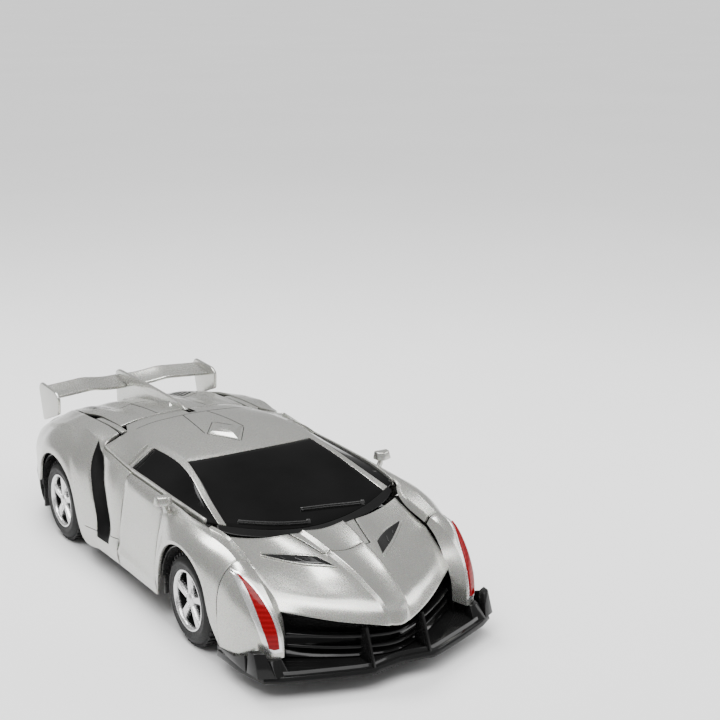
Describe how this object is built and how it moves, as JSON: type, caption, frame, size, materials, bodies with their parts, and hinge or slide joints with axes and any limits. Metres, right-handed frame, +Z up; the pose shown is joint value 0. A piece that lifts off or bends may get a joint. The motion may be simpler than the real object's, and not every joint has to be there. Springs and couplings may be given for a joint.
{
  "type": "transforming toy car",
  "caption": "Remote-controlled sports-car toy that stands up into a robot: the roof and nose rise, the wings swing out as arms and a foot slides forward.",
  "frame": {"origin": "on the ground, under the middle of the car's bounding box", "axes": "+Z up, nose towards -Y, +X to the car's left side"},
  "size_m": [0.1192, 0.2762, 0.067],
  "materials": {
    "silver_paint": "metallic silver paint on moulded plastic, satin clear coat",
    "gloss_black": "gloss",
    "black_plastic": "satin",
    "grey_plastic": "satin",
    "white_silver_trim": "satin",
    "gold_trim": "satin",
    "copper_trim": "satin",
    "red_lens": "gloss",
    "tyre": "matte",
    "chrome_plated": "polished",
    "steel": "brushed",
    "white_gear": "satin",
    "cell_sleeve": "gloss",
    "circuit_green": "gloss"
  },
  "bodies": {
    "rear_body": {"battery_cells": "cell_sleeve", "battery_cover": "black_plastic", "chassis_screws": "steel", "circuit_board": "circuit_green", "drive_motors": "grey_plastic", "engine_deck": "silver_paint", "hip_motor": "grey_plastic", "hip_pin": "steel", "rear_bumper": "gloss_black", "rear_chassis_tub": "black_plastic", "rear_quarter_left": "silver_paint", "rear_quarter_right": "silver_paint", "rear_wing": "silver_paint", "tail_lamps": "red_lens"},
    "rear_wheel_left": {"rear_tyre_left": "tyre", "rear_rim_left": "chrome_plated", "rear_axle_left": "steel"},
    "rear_wheel_right": {"rear_tyre_right": "tyre", "rear_rim_right": "chrome_plated", "rear_axle_right": "steel"},
    "idler_left": {"idler_gear_left": "white_gear"},
    "idler_right": {"idler_gear_right": "white_gear"},
    "pinion_left": {"motor_pinion_left": "white_gear"},
    "pinion_right": {"motor_pinion_right": "white_gear"},
    "hip_drive": {"hip_pinion": "white_gear"},
    "switch": {"power_switch": "black_plastic"},
    "foot": {"foot_block": "silver_paint", "foot_relief": "silver_paint"},
    "torso": {"torso_frame": "black_plastic", "roof_shell": "silver_paint", "windshield": "gloss_black", "side_windows": "gloss_black", "torso_front_cover": "black_plastic", "silver_trim": "white_silver_trim", "gold_trim": "gold_trim", "leg_covers": "black_plastic", "copper_bars": "copper_trim", "hip_gear": "white_gear"},
    "head": {"cowl_flap": "silver_paint", "head_helmet": "black_plastic", "head_face": "chrome_plated"},
    "chest": {"hood_shell": "silver_paint", "nose_grille": "gloss_black", "splitter": "gloss_black", "headlight_pods": "silver_paint", "headlight_lenses": "red_lens", "chest_frame": "black_plastic", "chest_axle": "steel"},
    "link_left": {"arm_link_left": "black_plastic"},
    "link_right": {"arm_link_right": "black_plastic"},
    "forearm_left": {"fender_door_left": "silver_paint", "wheel_cover_left": "grey_plastic", "mirror_left": "silver_paint"},
    "forearm_right": {"fender_door_right": "silver_paint", "wheel_cover_right": "grey_plastic", "mirror_right": "silver_paint"},
    "front_wheel_left": {"front_tyre_left": "tyre", "front_rim_left": "chrome_plated"},
    "front_wheel_right": {"front_tyre_right": "tyre", "front_rim_right": "chrome_plated"}
  },
  "joints": [
    {"name": "hip", "type": "hinge", "parent": "rear_body", "child": "torso", "pos_m": [0, 0.074, 0.046], "axis": [-1, 0, 0], "range_deg": [0, 90]},
    {"name": "chest_fold", "type": "hinge", "parent": "torso", "child": "chest", "pos_m": [0, -0.066, 0.028], "axis": [1, 0, 0], "range_deg": [0, 90]},
    {"name": "head_rise", "type": "slide", "parent": "torso", "child": "head", "axis": [0, -1, 0], "range_m": [0, 0.03]},
    {"name": "foot_slide", "type": "slide", "parent": "rear_body", "child": "foot", "axis": [0, -1, 0], "range_m": [0, 0.048]},
    {"name": "hip_pinion_spin", "type": "hinge", "parent": "rear_body", "child": "hip_drive", "pos_m": [0.0205, 0.0812, 0.05458], "axis": [-1, 0, 0], "range_deg": [-250, 5]},
    {"name": "power_switch_slide", "type": "slide", "parent": "rear_body", "child": "switch", "axis": [1, 0, 0], "range_m": [0, 0.005]},
    {"name": "arm_swing_left", "type": "hinge", "parent": "chest", "child": "link_left", "pos_m": [0.035, -0.084, 0.034], "axis": [0, 0, -1], "range_deg": [0, 90]},
    {"name": "forearm_turn_left", "type": "hinge", "parent": "link_left", "child": "forearm_left", "pos_m": [0.035, -0.042, 0.034], "axis": [0, 0, 1], "range_deg": [0, 90]},
    {"name": "front_wheel_spin_left", "type": "hinge", "parent": "forearm_left", "child": "front_wheel_left", "pos_m": [0.0485, -0.06, 0.02], "axis": [1, 0, 0], "continuous": true},
    {"name": "rear_wheel_spin_left", "type": "hinge", "parent": "rear_body", "child": "rear_wheel_left", "pos_m": [0.0485, 0.08, 0.02], "axis": [1, 0, 0], "continuous": true},
    {"name": "idler_spin_left", "type": "hinge", "parent": "rear_body", "child": "idler_left", "pos_m": [0.0315, 0.10045, 0.03403], "axis": [1, 0, 0], "continuous": true},
    {"name": "motor_pinion_spin_left", "type": "hinge", "parent": "rear_body", "child": "pinion_left", "pos_m": [0.0315, 0.11497, 0.04398], "axis": [1, 0, 0], "continuous": true},
    {"name": "arm_swing_right", "type": "hinge", "parent": "chest", "child": "link_right", "pos_m": [-0.035, -0.084, 0.034], "axis": [0, 0, 1], "range_deg": [0, 90]},
    {"name": "forearm_turn_right", "type": "hinge", "parent": "link_right", "child": "forearm_right", "pos_m": [-0.035, -0.042, 0.034], "axis": [0, 0, -1], "range_deg": [0, 90]},
    {"name": "front_wheel_spin_right", "type": "hinge", "parent": "forearm_right", "child": "front_wheel_right", "pos_m": [-0.0485, -0.06, 0.02], "axis": [1, 0, 0], "continuous": true},
    {"name": "rear_wheel_spin_right", "type": "hinge", "parent": "rear_body", "child": "rear_wheel_right", "pos_m": [-0.0485, 0.08, 0.02], "axis": [1, 0, 0], "continuous": true},
    {"name": "idler_spin_right", "type": "hinge", "parent": "rear_body", "child": "idler_right", "pos_m": [-0.0315, 0.10045, 0.03403], "axis": [1, 0, 0], "continuous": true},
    {"name": "motor_pinion_spin_right", "type": "hinge", "parent": "rear_body", "child": "pinion_right", "pos_m": [-0.0315, 0.11497, 0.04398], "axis": [1, 0, 0], "continuous": true}
  ],
  "couplings": [
    {"joint": "chest_fold", "follows": "hip", "ratio": 1},
    {"joint": "head_rise", "follows": "hip", "m_per_rad": 0.019099},
    {"joint": "foot_slide", "follows": "hip", "m_per_rad": 0.030558},
    {"joint": "hip_pinion_spin", "follows": "hip", "ratio": -2.5},
    {"joint": "arm_swing_left", "follows": "hip", "ratio": 1},
    {"joint": "forearm_turn_left", "follows": "hip", "ratio": 1},
    {"joint": "idler_spin_left", "follows": "rear_wheel_spin_left", "ratio": -0.9375},
    {"joint": "motor_pinion_spin_left", "follows": "rear_wheel_spin_left", "ratio": 2.5},
    {"joint": "arm_swing_right", "follows": "hip", "ratio": 1},
    {"joint": "forearm_turn_right", "follows": "hip", "ratio": 1},
    {"joint": "idler_spin_right", "follows": "rear_wheel_spin_right", "ratio": -0.9375},
    {"joint": "motor_pinion_spin_right", "follows": "rear_wheel_spin_right", "ratio": 2.5}
  ]
}
